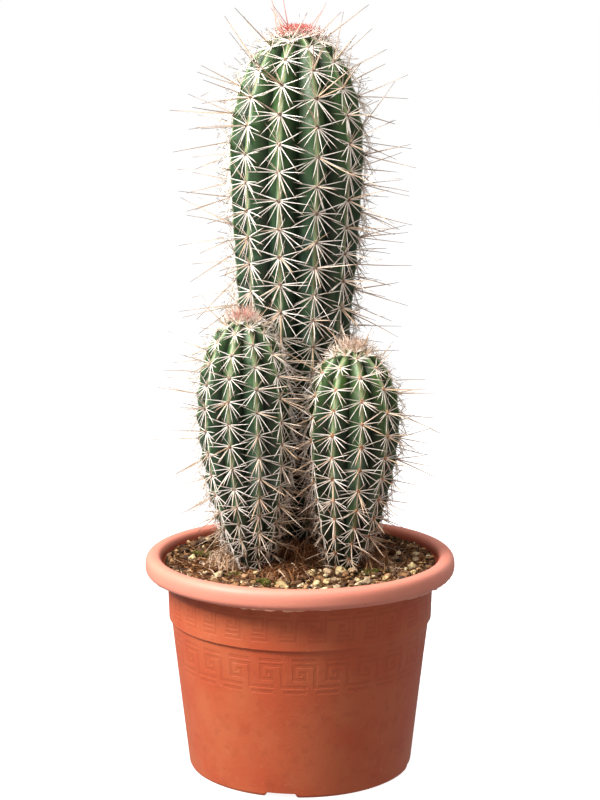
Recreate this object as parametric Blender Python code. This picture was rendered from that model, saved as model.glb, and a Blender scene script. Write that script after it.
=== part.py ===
"""Potted tall cactus: three ribbed, spiny stems in the soil of a moulded plastic nursery pot.

Metres, +Z up. The origin is on the floor at the pot's axis, and the front of the plant faces -Y.
"""

import math
import random
from dataclasses import dataclass

import bmesh
import bpy
import numpy as np
from mathutils import Euler, Matrix, Vector, noise
from mathutils.bvhtree import BVHTree

GAP = 0.0004  # clearance kept between pieces that touch

# Pot
POT_SIDES = 48
POT_HEIGHT = 0.2104
RIM_RADIUS = 0.1500
RIM_LOW = 0.1915
MOUTH_RADIUS = 0.1336
BAND_RADIUS = 0.1290
BAND_LOW = 0.1480
STEP_DEPTH = 0.0023
FOOT_RADIUS = 0.1090
FOOT_WIDTH = 0.0085
FOOT_HEIGHT = 0.0050
WALL = 0.0025
FLOOR = 0.0028
NOTCH_WIDTH = 0.0320
NOTCH_HEIGHT = 0.0040
NOTCH_TURN = -9.6
DRAIN_HOLES = 8
DRAIN_RADIUS = 0.0050
DRAIN_RING = 0.0740

# Soil
SOIL_TOP = 0.1945
SOIL_EDGE = 0.1296
SOIL_EDGE_LIFT = 0.0085
SOIL_RINGS = 6

# Stems
BURIED = 0.0350
POCKET_CLEARANCE = 0.0008
POCKET_SIDES = 24
CREST_HALF_WIDTH = 0.0032
CUSHION = 0.0016  # half the width of the raised cushion that a spine stands on
CUSHION_HEIGHT = 0.0015
SPINE_LONGEST = 0.0400
SPINE_SHORTEST = 0.0260
SPINE_CLEARANCE = 0.0015  # to the next stem's own share of the space
SPINE_LOWEST = 0.2148
SPINE_REACH_BACK = 0.1570
SPINE_REACH_SIDE = 0.1480

# Loose pieces on the soil: (x, y, size across)
PEBBLES = 22
PEBBLE_PLACES = (
    (-0.0766, -0.0568, 0.0095), (-0.0524, -0.0540, 0.0085), (-0.0435, -0.0382, 0.0066),
    (0.0114, -0.0382, 0.0095), (0.0266, -0.0342, 0.0085), (0.0260, -0.0657, 0.0076),
    (0.0381, -0.0302, 0.0095), (0.0509, -0.0302, 0.0095), (-0.0171, -0.0809, 0.0095),
    (0.0633, -0.0809, 0.0104), (0.0807, -0.0657, 0.0060), (0.0931, 0.0115, 0.0085),
    (0.1140, 0.0165, 0.0090), (0.1130, -0.0020, 0.0085), (0.1080, -0.0250, 0.0085),
    (0.0337, -0.0921, 0.0066), (0.0539, -0.0865, 0.0060),
)
MOSS_PLACES = (
    (-0.0640, -0.0410, 0.0110), (-0.0360, -0.0650, 0.0100),
    (0.0700, -0.0270, 0.0105), (-0.0950, 0.0350, 0.0110),
)
FIBRES = 6


@dataclass(frozen=True)
class Stem:
    """One cactus stem. Angles are in degrees from the front (-Y), positive towards +X."""

    name: str
    colour: str
    ribs: int
    first_crest: float
    rib_depth: float
    top: float
    bulge: float
    widest: float
    base: float
    swell: float
    areole_step: float
    axis: tuple  # (z, x, y) points of the centre line, from the soil up

    def centre(self, z):
        heights, xs, ys = zip(*self.axis)
        return Vector((np.interp(z, heights, xs), np.interp(z, heights, ys), z))

    def radius(self, z):
        """Distance from the centre line to a rib's crest."""
        if z >= self.top:
            return 0.0
        if z >= self.bulge:
            above = (z - self.bulge) / (self.top - self.bulge)
            return self.widest * (1 - above**2) ** 0.4
        if z >= SOIL_TOP:
            below = (z - SOIL_TOP) / (self.bulge - SOIL_TOP)
            return self.base + (self.widest - self.base) * (1 - (1 - below) ** self.swell)
        return self.base * (1 - 0.35 * (SOIL_TOP - z) / BURIED)

    def levels(self):
        """Heights of the rings above the soil, half an areole step apart along the crest."""
        zs = np.linspace(SOIL_TOP, self.top, 4000)
        rs = np.array([self.radius(z) for z in zs])
        along = np.concatenate([[0], np.cumsum(np.hypot(np.diff(zs), np.diff(rs)))])
        reached = along[rs > 0.0045][-1]
        count = round(reached / (self.areole_step / 2))
        return [float(z) for z in np.interp(np.linspace(0, reached, count + 1), along, zs)]


STEMS = (
    Stem(
        name="main_stem", colour="3F6B3E", ribs=11, first_crest=181.6, rib_depth=0.18,
        top=0.7040, bulge=0.5854, widest=0.0655, base=0.0327, swell=1.25, areole_step=0.026,
        axis=((0.15, -0.0040, 0.0700), (0.45, -0.0044, 0.0730), (0.71, -0.0025, 0.0730)),
    ),
    Stem(
        name="left_stem", colour="4A7344", ribs=10, first_crest=163.0, rib_depth=0.18,
        top=0.4374, bulge=0.3453, widest=0.0435, base=0.0140, swell=2.0, areole_step=0.020,
        axis=((0.15, -0.0430, -0.0060), (0.204, -0.0456, -0.0070), (0.224, -0.0479, -0.0080),
              (0.355, -0.0543, -0.0090), (0.446, -0.0537, -0.0090)),
    ),
    Stem(
        name="right_stem", colour="4F7A48", ribs=10, first_crest=189.0, rib_depth=0.18,
        top=0.4087, bulge=0.3352, widest=0.0441, base=0.0150, swell=1.7, areole_step=0.021,
        axis=((0.15, 0.0405, -0.0060), (0.204, 0.0431, -0.0070), (0.244, 0.0471, -0.0080),
              (0.355, 0.0515, -0.0090), (0.416, 0.0503, -0.0090)),
    ),
)


def clear_scene():
    for obj in list(bpy.data.objects):
        bpy.data.objects.remove(obj, do_unlink=True)


def linear(hex_colour):
    """sRGB hex text as linear RGBA."""
    channels = [int(hex_colour[i : i + 2], 16) / 255 for i in (0, 2, 4)]
    return (*[c / 12.92 if c <= 0.04045 else ((c + 0.055) / 1.055) ** 2.4 for c in channels], 1)


def material(name, hex_colour, roughness):
    made = bpy.data.materials.get(name) or bpy.data.materials.new(name)
    made.use_nodes = True
    shader = made.node_tree.nodes["Principled BSDF"]
    shader.inputs["Base Color"].default_value = linear(hex_colour)
    shader.inputs["Roughness"].default_value = roughness
    shader.inputs["Metallic"].default_value = 0.0
    made.diffuse_color = linear(hex_colour)
    return made


def add_object(name, bm, finish, sharp_degrees=35):
    """A named object from a bmesh, with its material, shaded smooth up to the given angle."""
    bmesh.ops.recalc_face_normals(bm, faces=bm.faces)
    mesh = bpy.data.meshes.new(name)
    bm.to_mesh(mesh)
    bm.free()
    mesh.shade_smooth()
    mesh.set_sharp_from_angle(angle=math.radians(sharp_degrees))
    if finish:
        mesh.materials.append(finish)
    obj = bpy.data.objects.new(name, mesh)
    bpy.context.scene.collection.objects.link(obj)
    return obj


def cut(obj, cutter):
    """Takes the cutter's shape out of the object and hides the cutter."""
    cutter.hide_render = True
    cutter.display_type = "WIRE"
    modifier = obj.modifiers.new(cutter.name, "BOOLEAN")
    modifier.operation = "DIFFERENCE"
    modifier.solver = "EXACT"
    modifier.object = cutter


def turned(profile, sides):
    """The bmesh of a profile of (radius, height) points, spun round the Z axis."""
    bm = bmesh.new()
    points = [bm.verts.new((radius, 0, height)) for radius, height in profile]
    edges = [bm.edges.new(pair) for pair in zip(points, points[1:])]
    bmesh.ops.spin(
        bm, geom=points + edges, axis=(0, 0, 1), cent=(0, 0, 0), steps=sides,
        angle=2 * math.pi, use_merge=True,
    )
    bmesh.ops.remove_doubles(bm, verts=bm.verts, dist=1e-6)
    bmesh.ops.dissolve_degenerate(bm, edges=bm.edges, dist=1e-6)
    return bm


def facing(degrees):
    """Unit vector at an angle from the front, positive towards +X."""
    turn = math.radians(degrees)
    return Vector((math.sin(turn), -math.cos(turn), 0))


def pot_profile():
    """Underside, outside, rolled rim and inside, from the axis and back to it."""
    outside = [
        (0.0, FOOT_HEIGHT),
        (FOOT_RADIUS - 0.0025 - FOOT_WIDTH, FOOT_HEIGHT),
        (FOOT_RADIUS - 0.0025 - FOOT_WIDTH + 0.001, 0.0),
        (FOOT_RADIUS - 0.0025, 0.0),
        (FOOT_RADIUS, 0.0030),
        (BAND_RADIUS - 0.0015 - STEP_DEPTH, BAND_LOW - 0.0012),
        (BAND_RADIUS - 0.0015, BAND_LOW),
        (BAND_RADIUS, RIM_LOW + 0.0030),
    ]
    rim = [
        (BAND_RADIUS + 0.0015, 0.1992),
        (0.1395, 0.2019),
        (0.1450, 0.1990),
        (0.1464, RIM_LOW + 0.0008),
        (0.1482, RIM_LOW),
        (0.1496, 0.1950),
        (RIM_RADIUS, 0.1990),
        (0.1488, 0.2041),
        (0.1452, 0.2084),
        (0.1405, POT_HEIGHT),
        (0.1362, 0.2098),
        (MOUTH_RADIUS, 0.2073),
        (MOUTH_RADIUS - 0.0022, 0.2022),
    ]
    inside = [
        (BAND_RADIUS - WALL, 0.1947),
        (BAND_RADIUS - 0.0015 - WALL, BAND_LOW + 0.0010),
        (BAND_RADIUS - 0.0015 - STEP_DEPTH - WALL, BAND_LOW - 0.0030),
        (FOOT_RADIUS - WALL + 0.0004, FOOT_HEIGHT + FLOOR + 0.0020),
        (FOOT_RADIUS - WALL - 0.0016, FOOT_HEIGHT + FLOOR),
        (0.0, FOOT_HEIGHT + FLOOR),
    ]
    return outside + rim + inside


def notch_cutter(number):
    """A wedge-ended slot through the foot ring, for water to run out of."""
    bm = bmesh.new()
    bmesh.ops.create_cube(bm, size=1)
    across, through, high = NOTCH_WIDTH, 0.040, 2 * NOTCH_HEIGHT
    bmesh.ops.scale(bm, vec=(across, through, high), verts=bm.verts)
    for vert in bm.verts:
        if vert.co.z > 0:
            vert.co.x *= 0.86
    obj = add_object(f"foot_notch_cutter_{number}", bm, None)
    turn = NOTCH_TURN + number * 90
    obj.location = facing(turn) * FOOT_RADIUS
    obj.rotation_euler = (0, 0, math.radians(turn))
    return obj


def drain_cutter(number):
    bm = bmesh.new()
    bmesh.ops.create_cone(
        bm, cap_ends=True, segments=16, radius1=DRAIN_RADIUS, radius2=DRAIN_RADIUS, depth=0.02
    )
    obj = add_object(f"drain_hole_cutter_{number}", bm, None)
    place = facing(NOTCH_TURN + 22.5 + number * 360 / DRAIN_HOLES) * DRAIN_RING
    obj.location = (place.x, place.y, FOOT_HEIGHT)
    return obj


def build_pot():
    plastic = material("terracotta_plastic", "C9683F", 0.55)
    pot = add_object("pot", turned(pot_profile(), POT_SIDES), plastic, sharp_degrees=40)
    for number in range(4):
        cut(pot, notch_cutter(number))
    for number in range(DRAIN_HOLES):
        cut(pot, drain_cutter(number))


def soil_height(x, y):
    """The soil surface: a little uneven, heaped round the stems and drawn up at the pot's wall."""
    out = min(math.hypot(x, y) / SOIL_EDGE, 1.0)
    waves = 0.0012 * math.sin(31 * x + 1.3) * math.cos(27 * y - 0.4) * (1 - out**6)
    heap = 0.0016 * math.exp(-((x / 0.07) ** 2) - ((y - 0.01) / 0.06) ** 2) * (1 - out**6)
    return SOIL_TOP + waves + heap + SOIL_EDGE_LIFT * out**4


def build_soil():
    """The fill, from the pot's floor to its rim, with a pocket for each stem."""
    keep = GAP + 0.0003
    side = [(radius - keep, height) for radius, height in pot_profile()[-6:-1]]
    side = side[::-1]
    side = [(side[0][0], side[0][1] + keep)] + side[1:-1] + [(side[-1][0], side[-1][1] - keep)]
    rings = [(SOIL_EDGE * (SOIL_RINGS - i) / SOIL_RINGS, SOIL_TOP) for i in range(SOIL_RINGS)]
    profile = [(0.0, side[0][1]), *side, *rings, (0.0, SOIL_TOP)]
    bm = turned(profile, POT_SIDES)
    for vert in bm.verts:
        if vert.co.z > SOIL_TOP - 1e-5:
            vert.co.z = soil_height(vert.co.x, vert.co.y)
    soil = add_object("soil", bm, material("soil_mix", "5E4632", 0.95), sharp_degrees=50)
    for stem in STEMS:
        cut(soil, pocket_cutter(stem))
    bpy.context.view_layer.update()
    return soil


def pocket_cutter(stem):
    """A round tapered hole that the buried base stands in."""
    wide = 1 / math.cos(math.pi / POCKET_SIDES)
    low, level, high = SOIL_TOP - BURIED - 0.0010, SOIL_TOP, SOIL_TOP + 0.0080
    reach = [(stem.radius(z) * wide + POCKET_CLEARANCE, z) for z in (low, level, high)]
    bm = turned([(0.0, low), *reach, (0.0, high)], POCKET_SIDES)
    for vert in bm.verts:
        middle = stem.centre(vert.co.z)
        vert.co = Vector((vert.co.x + middle.x, vert.co.y + middle.y, vert.co.z))
    return add_object(f"{stem.name}_pocket_cutter", bm, None)


def crest_angles(stem, radius):
    """Angles of a ring's points: for each rib its valley, then the two edges of its flat crest."""
    pitch = 360 / stem.ribs
    flat = min(math.degrees(CREST_HALF_WIDTH / max(radius, 1e-4)), 0.26 * pitch)
    for rib in range(stem.ribs):
        crest = stem.first_crest + rib * pitch
        yield crest - pitch / 2, True
        yield crest - flat, False
        yield crest + flat, False


def place_ring(stem, ring, z, tubercle=0.0):
    """Puts a ring's points on the ribbed outline at one height."""
    radius = stem.radius(z)
    centre = stem.centre(z)
    for vert, (angle, valley) in zip(ring, crest_angles(stem, radius)):
        reach = radius * (1 - stem.rib_depth) if valley else radius
        vert.co = centre + facing(angle) * reach


def ribbed_body(stem):
    """The stem's flesh as rings of points, with the crest faces that carry an areole."""
    bm = bmesh.new()
    heights = [SOIL_TOP - BURIED, SOIL_TOP - 0.6 * BURIED] + stem.levels()
    made = bmesh.ops.create_circle(bm, cap_ends=False, segments=3 * stem.ribs, radius=0.01)
    ring = made["verts"]
    edges = list(bm.edges)
    foot_ring = list(ring)
    place_ring(stem, ring, heights[0])
    rings = [ring]
    for z in heights[1:]:
        made = bmesh.ops.extrude_edge_only(bm, edges=edges)
        edges = [item for item in made["geom"] if isinstance(item, bmesh.types.BMEdge)]
        fresh = {item for item in made["geom"] if isinstance(item, bmesh.types.BMVert)}
        ring = []
        for vert in rings[-1]:
            ring.append(next(e.other_vert(vert) for e in vert.link_edges if e.other_vert(vert) in fresh))
        place_ring(stem, ring, z)
        rings.append(ring)
    foot = bm.faces.new(foot_ring)
    crown = bm.faces.new(rings[-1])
    tip = bmesh.ops.poke(bm, faces=[crown])["verts"][0]
    tip.co = stem.centre(stem.top)
    bmesh.ops.poke(bm, faces=[foot])
    bmesh.ops.recalc_face_normals(bm, faces=bm.faces)
    bearing = []
    for level in range(2, len(rings) - 1):
        for rib in range(stem.ribs):
            if (level + rib) % 2:
                continue
            corners = [rings[level][3 * rib + 1], rings[level][3 * rib + 2]]
            corners += [rings[level + 1][3 * rib + 1], rings[level + 1][3 * rib + 2]]
            face = next(f for f in corners[0].link_faces if set(f.verts) == set(corners))
            middle = face.calc_center_median()
            if middle.z > SPINE_LOWEST:
                bearing.append(face)
    return bm, bearing


def room_left(stem, point):
    """How far a point is inside this stem's own share of the space, and inside the outer limits."""
    own = math.dist(point[:2], stem.centre(point.z)[:2]) - stem.radius(min(point.z, stem.top - 0.02))
    room = [
        point.z - SPINE_LOWEST + 0.003,
        SPINE_REACH_BACK - point.y,
        SPINE_REACH_SIDE - abs(point.x),
        point.y + SPINE_REACH_SIDE,
    ]
    for other in STEMS:
        if other is stem:
            continue
        height = min(point.z, other.top - 0.01)
        beyond = max(0.0, point.z - other.top + 0.01)
        away = math.dist(point[:2], other.centre(height)[:2]) - other.radius(height)
        room.append((max(away, 0.0) ** 2 + beyond**2) ** 0.5 - own - 2 * SPINE_CLEARANCE)
    return min(room)


def spine_tip(stem, root, outward, chance):
    """Where an areole's long spine ends: drooping low down, level higher up, upright at the crown."""
    share = (root.z - SOIL_TOP) / (stem.top - SOIL_TOP)
    lift = np.interp(share, (0.0, 0.45, 0.80, 0.93, 1.0), (-0.50, -0.25, 0.05, 0.75, 2.2))
    lean = chance.uniform(-0.16, 0.16)
    flat = Vector((outward.x, outward.y, 0))
    if flat.length > 1e-6:
        flat.normalize()
    aside = Vector((-flat.y, flat.x, 0))
    way = (flat + aside * lean + Vector((0, 0, lift + chance.uniform(-0.08, 0.08)))).normalized()
    length = chance.uniform(SPINE_SHORTEST, SPINE_LONGEST)
    while length > 0.003:
        along = [root + way * length * part for part in (0.25, 0.5, 0.75, 1.0)]
        if min(room_left(stem, point) for point in along) > 0:
            return along[-1]
        length -= 0.002
    return root + outward * 0.002


def build_stem(stem, number):
    bm, bearing = ribbed_body(stem)
    chance = random.Random(40 + number)
    places = []
    for face in bearing:
        across = [edge for edge in face.edges if abs(edge.verts[0].co.z - edge.verts[1].co.z) < 1e-6]
        side = (across[0].verts[1].co - across[0].verts[0].co).normalized()
        places.append((face, face.calc_center_median(), face.normal.copy(), side, across[0].calc_length()))
    for face, middle, outward, side, width in places:
        bmesh.ops.inset_individual(bm, faces=[face], thickness=0.0003, depth=0.0, use_even_offset=True)
        up = outward.cross(side).normalized()
        half = min(CUSHION, 0.32 * width)
        for vert in face.verts:
            offset = vert.co - middle
            vert.co = (
                middle
                + side * math.copysign(half, offset.dot(side))
                + up * math.copysign(half, offset.dot(up))
                + outward * CUSHION_HEIGHT
            )
        root = middle + outward * CUSHION_HEIGHT
        tip = bmesh.ops.poke(bm, faces=[face])["verts"][0]
        tip.co = spine_tip(stem, root, outward, chance)
    bmesh.ops.triangulate(bm, faces=bm.faces)
    add_object(stem.name, bm, material(f"{stem.name}_flesh", stem.colour, 0.6), sharp_degrees=55)


def pebble_shape(size, chance):
    """A rounded, flattened stone about its own centre."""
    bm = bmesh.new()
    bmesh.ops.create_icosphere(bm, subdivisions=2, radius=0.5)
    offset = Vector([chance.uniform(-50, 50) for _ in range(3)])
    stretch = Vector((1, chance.uniform(0.65, 0.95), chance.uniform(0.5, 0.75)))
    for vert in bm.verts:
        bump = 1 + 0.28 * noise.noise(vert.co * 2.2 + offset)
        vert.co = Vector(c * s for c, s in zip(vert.co * bump * size, stretch))
    turn = Euler((chance.uniform(-0.25, 0.25), chance.uniform(-0.25, 0.25), chance.uniform(0, 6.28)))
    bmesh.ops.rotate(bm, verts=bm.verts, matrix=turn.to_matrix(), cent=(0, 0, 0))
    return bm


def surface_of(obj):
    """The object's finished surface, for resting pieces on it."""
    graph = bpy.context.evaluated_depsgraph_get()
    bm = bmesh.new()
    bm.from_mesh(obj.evaluated_get(graph).to_mesh())
    tree = BVHTree.FromBMesh(bm)
    bm.free()
    return tree


def height_at(surface, x, y):
    hit = surface.ray_cast(Vector((x, y, 0.3)), Vector((0, 0, -1)))[0]
    return hit.z if hit else None


def is_free(x, y, reach, taken):
    """Whether a round place on the soil is clear of stems, rim and the pieces already laid."""
    if math.hypot(x, y) + reach > MOUTH_RADIUS - 0.0080:
        return False
    for stem in STEMS:
        foot = stem.centre(SOIL_TOP + 0.010)
        if math.dist((x, y), foot[:2]) < stem.radius(SOIL_TOP + 0.014) + reach + 0.0035:
            return False
    return all(math.dist((x, y), (tx, ty)) > reach + other + 0.0010 for tx, ty, other in taken)


def lay_on(bm, surface, x, y):
    """Moves a small shape to (x, y), with its lowest parts just clear of the soil."""
    bmesh.ops.translate(bm, verts=bm.verts, vec=(x, y, 0))
    lift = max(height_at(surface, v.co.x, v.co.y) - v.co.z for v in bm.verts)
    bmesh.ops.translate(bm, verts=bm.verts, vec=(0, 0, lift + GAP))


def build_moss(surface, taken):
    """Low cushions of moss, flat below and domed above."""
    green = material("moss", "5B6B2A", 0.95)
    chance = random.Random(7)
    for number, (x, y, reach) in enumerate(MOSS_PLACES, 1):
        bm = bmesh.new()
        bmesh.ops.create_uvsphere(bm, u_segments=12, v_segments=6, radius=1.0)
        turn = chance.uniform(0, 6.28)
        for vert in bm.verts:
            wave = 1 + 0.12 * math.sin(3 * math.atan2(vert.co.y, vert.co.x) + turn)
            flat = vert.co.z if vert.co.z > 0 else 0.12 * vert.co.z
            vert.co = Vector((vert.co.x * reach * wave / 1.12, vert.co.y * reach * 0.8, flat * 0.0045))
        for vert in bm.verts:
            vert.co.z += height_at(surface, vert.co.x + x, vert.co.y + y)
        lay_on(bm, surface, x, y)
        add_object(f"moss_{number:02d}", bm, green)
        taken.append((x, y, reach))


def build_pebbles(surface, taken):
    """Pale pebbles, most of them in front and to the right."""
    stone = material("pale_pebble", "D9C79A", 0.8)
    chance = random.Random(21)
    places = list(PEBBLE_PLACES)
    taken.extend((x, y, size * 0.62) for x, y, size in places)
    while len(places) < PEBBLES:
        size = chance.uniform(0.0060, 0.0090)
        place = facing(chance.uniform(0, 360)) * chance.uniform(0.060, 0.112)
        if is_free(place.x, place.y, size * 0.62, taken):
            places.append((place.x, place.y, size))
            taken.append((place.x, place.y, size * 0.62))
    for number, (x, y, size) in enumerate(places, 1):
        bm = pebble_shape(size, chance)
        lay_on(bm, surface, x, y)
        add_object(f"pebble_{number:02d}", bm, stone, sharp_degrees=80)


def build_fibres(surface, taken):
    """Dry root fibres and shed spines: short bent rods that lie on the soil."""
    dry = material("dry_root_fibre", "A98B62", 0.9)
    chance = random.Random(5)
    laid = 0
    while laid < FIBRES:
        place = facing(chance.gauss(-10, 50)) * chance.uniform(0.045, 0.100)
        length, thick = chance.uniform(0.016, 0.026), chance.uniform(0.0011, 0.0015)
        if not is_free(place.x, place.y, length * 0.5, taken):
            continue
        bm = bmesh.new()
        bmesh.ops.create_circle(bm, cap_ends=True, segments=6, radius=thick)
        bmesh.ops.rotate(bm, verts=bm.verts, matrix=Matrix.Rotation(math.radians(90), 3, "Y"), cent=(0, 0, 0))
        bmesh.ops.translate(bm, verts=bm.verts, vec=(-length / 2, 0, 0))
        end = list(bm.faces)
        bow, joints = chance.uniform(-0.003, 0.003), 6
        for joint in range(1, joints + 1):
            made = bmesh.ops.extrude_face_region(bm, geom=end)["geom"]
            bmesh.ops.delete(bm, geom=end, context="FACES_ONLY") if joint > 1 else None
            end = [item for item in made if isinstance(item, bmesh.types.BMFace)]
            ring = [item for item in made if isinstance(item, bmesh.types.BMVert)]
            step = bow * (math.sin(math.pi * joint / joints) - math.sin(math.pi * (joint - 1) / joints))
            bmesh.ops.translate(bm, verts=ring, vec=(length / joints, step, 0))
        turn = Matrix.Rotation(chance.uniform(0, 6.28), 3, "Z")
        bmesh.ops.rotate(bm, verts=bm.verts, matrix=turn, cent=(0, 0, 0))
        lay_on(bm, surface, place.x, place.y)
        laid += 1
        add_object(f"root_fibre_{laid:02d}", bm, dry)
        taken.append((place.x, place.y, length * 0.5))


def main():
    clear_scene()
    bpy.context.scene.unit_settings.system = "METRIC"
    bpy.context.scene.unit_settings.scale_length = 1.0
    build_pot()
    soil = build_soil()
    for number, stem in enumerate(STEMS):
        build_stem(stem, number)
    surface = surface_of(soil)
    taken = []
    build_moss(surface, taken)
    build_pebbles(surface, taken)
    build_fibres(surface, taken)


if __name__ == "__main__":
    main()
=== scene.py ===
"""Potted tall cactus: three spiny stems, the soil they stand in and their moulded pot.

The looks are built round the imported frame. Metres, +Z up; -Y is the front, +X the right.
Angles round the plant are in degrees from the front, positive towards +X.
"""

import logging
import math
import random
from collections.abc import Callable, Iterator, Sequence
from dataclasses import dataclass, field
from enum import Enum

import bmesh
import bpy
import numpy as np
from mathutils import Euler, Matrix, Vector, noise


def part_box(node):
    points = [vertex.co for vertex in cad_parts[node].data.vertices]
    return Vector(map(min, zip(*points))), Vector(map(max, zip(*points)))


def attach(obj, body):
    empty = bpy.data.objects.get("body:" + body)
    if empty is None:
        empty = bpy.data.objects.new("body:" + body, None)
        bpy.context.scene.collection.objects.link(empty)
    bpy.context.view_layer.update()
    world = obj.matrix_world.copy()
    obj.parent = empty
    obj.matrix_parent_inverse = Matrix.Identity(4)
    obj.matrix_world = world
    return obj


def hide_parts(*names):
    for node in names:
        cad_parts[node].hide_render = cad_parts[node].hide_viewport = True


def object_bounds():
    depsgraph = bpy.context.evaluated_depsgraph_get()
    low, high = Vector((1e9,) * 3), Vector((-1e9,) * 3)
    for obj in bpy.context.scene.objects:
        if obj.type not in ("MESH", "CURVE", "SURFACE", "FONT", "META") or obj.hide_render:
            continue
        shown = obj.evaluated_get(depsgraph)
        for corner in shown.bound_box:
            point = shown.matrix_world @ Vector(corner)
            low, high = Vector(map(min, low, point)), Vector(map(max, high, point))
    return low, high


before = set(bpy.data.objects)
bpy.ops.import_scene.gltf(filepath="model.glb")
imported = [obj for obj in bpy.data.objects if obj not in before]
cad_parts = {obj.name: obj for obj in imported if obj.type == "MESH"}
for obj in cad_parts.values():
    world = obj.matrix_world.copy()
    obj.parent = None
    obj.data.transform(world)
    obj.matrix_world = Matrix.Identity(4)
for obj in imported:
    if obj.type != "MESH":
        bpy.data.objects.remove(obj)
CAD_BOX = [list(corner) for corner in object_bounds()]
SOIL_LEVEL = 0.1945
log = logging.getLogger("potted_cactus")

Colour = tuple[float, float, float, float]
Stops = tuple[tuple[float, str], ...]
Point = tuple[float, float]
Bar = tuple[float, float, float, float]
Spine = tuple[Vector, float, float, float]  # way, length, radius at the root, warmth
Socket = bpy.types.NodeSocket
Tree = bpy.types.NodeTree


def linear(hex_colour: str) -> Colour:
    """Turns an sRGB hex colour to linear RGBA.

    Args:
        hex_colour: Six hex digits.

    Returns:
        Red, green, blue and an alpha of 1.
    """
    channels = [int(hex_colour[i : i + 2], 16) / 255 for i in (0, 2, 4)]
    red, green, blue = (
        c / 12.92 if c <= 0.04045 else ((c + 0.055) / 1.055) ** 2.4 for c in channels
    )
    return (red, green, blue, 1.0)


def facing(degrees: float) -> Vector:
    """Returns the level unit vector at an angle from the front."""
    turn = math.radians(degrees)
    return Vector((math.sin(turn), -math.cos(turn), 0.0))


def add_node(
    tree: Tree,
    kind: str,
    settings: dict | None = None,
    inputs: dict | None = None,
    stops: Stops = (),
) -> bpy.types.Node:
    """Adds a node with its settings, its inputs and, on a ramp, its colour stops.

    Args:
        tree: The node tree that gets the node.
        kind: The node's type, such as ShaderNodeMix.
        settings: Attributes to set on the node.
        inputs: Values by socket name or number; an output socket is linked instead.
        stops: Places and hex colours of a ramp.

    Returns:
        The new node.
    """
    made = tree.nodes.new(kind)
    for name, value in (settings or {}).items():
        setattr(made, name, value)
    for key, value in (inputs or {}).items():
        if isinstance(value, Socket):
            tree.links.new(value, made.inputs[key])
        else:
            made.inputs[key].default_value = value
    for number, (place, hex_colour) in enumerate(stops):
        ramp = made.color_ramp.elements
        stop = ramp[number] if number < 2 else ramp.new(place)
        stop.position = place
        stop.color = linear(hex_colour)
    return made


class MixKind(Enum):
    """How one colour is laid over another."""

    COVER = "MIX"
    DARKEN = "MULTIPLY"


class Source(Enum):
    """What a mask follows, where it isn't a value that the mesh carries."""

    CLOUDS = "cloudy noise with patches of a given size"
    SPOTS = "the distance from points scattered at a given spacing, in spacings"
    HEIGHT = "the height over the floor, in metres"
    REACH = "the distance from the upright axis, in metres"


@dataclass(frozen=True)
class Mask:
    """A value over a surface, spread smoothly so that low gives 0 and high gives 1."""

    source: Source | str  # a string names a value that the mesh carries
    low: float | None = None  # without limits the value is used as it is
    high: float = 1.0
    size_mm: float = 1.0
    detail: float = 3.0  # how many finer layers the clouds have

    def value(self, tree: Tree) -> Socket:
        """Adds the mask's nodes to a material.

        Args:
            tree: The material's node tree.

        Returns:
            The value.
        """
        if isinstance(self.source, Source):
            place = add_node(tree, "ShaderNodeTexCoord").outputs["Object"]
            pattern = {"Vector": place, "Scale": 1000 / self.size_mm}
        if self.source is Source.CLOUDS:
            pattern["Detail"] = self.detail
            found = add_node(tree, "ShaderNodeTexNoise", inputs=pattern).outputs["Fac"]
        elif self.source is Source.SPOTS:
            found = add_node(tree, "ShaderNodeTexVoronoi", inputs=pattern).outputs["Distance"]
        elif self.source is Source.HEIGHT:
            found = add_node(tree, "ShaderNodeSeparateXYZ", inputs={0: place}).outputs["Z"]
        elif self.source is Source.REACH:
            level = {0: place, 1: (1.0, 1.0, 0.0)}
            flat = add_node(tree, "ShaderNodeVectorMath", {"operation": "MULTIPLY"}, level)
            reach = {0: flat.outputs[0]}
            found = add_node(
                tree, "ShaderNodeVectorMath", {"operation": "LENGTH"}, reach
            ).outputs["Value"]
        else:
            carried = {"attribute_name": self.source}
            found = add_node(tree, "ShaderNodeAttribute", carried).outputs["Fac"]
        if self.low is None:
            return found
        return add_node(
            tree,
            "ShaderNodeMapRange",
            {"interpolation_type": "SMOOTHSTEP"},
            {"Value": found, "From Min": self.low, "From Max": self.high},
        ).outputs["Result"]


@dataclass(frozen=True)
class Ramp:
    """Colours that follow a mask."""

    mask: Mask
    stops: Stops

    def colour(self, tree: Tree) -> Socket:
        """Adds the ramp's nodes to a material and returns their colour."""
        following = {0: self.mask.value(tree)}
        return add_node(
            tree, "ShaderNodeValToRGB", inputs=following, stops=self.stops
        ).outputs[0]


@dataclass(frozen=True)
class Coat:
    """A layer of colour, over all that lies below it where its masks let it show."""

    colour: str | Ramp
    share: float
    masks: tuple[Mask, ...]
    how: MixKind = MixKind.COVER

    def lay_over(self, tree: Tree, below: Socket) -> Socket:
        """Adds the coat's nodes to a material.

        Args:
            tree: The material's node tree.
            below: The colour underneath.

        Returns:
            The mixed colour.
        """
        share = self.share
        for mask in self.masks:
            both = {0: mask.value(tree), 1: share}
            share = add_node(tree, "ShaderNodeMath", {"operation": "MULTIPLY"}, both).outputs[0]
        plain = isinstance(self.colour, str)
        above = linear(self.colour) if plain else self.colour.colour(tree)
        return add_node(
            tree,
            "ShaderNodeMix",
            {"data_type": "RGBA", "blend_type": self.how.value},
            {0: share, 6: below, 7: above},
        ).outputs[2]


@dataclass(frozen=True)
class Relief:
    """Fine cloudy bumps."""

    size_mm: float
    detail: float
    depth_mm: float
    strength: float = 1.0


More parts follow.
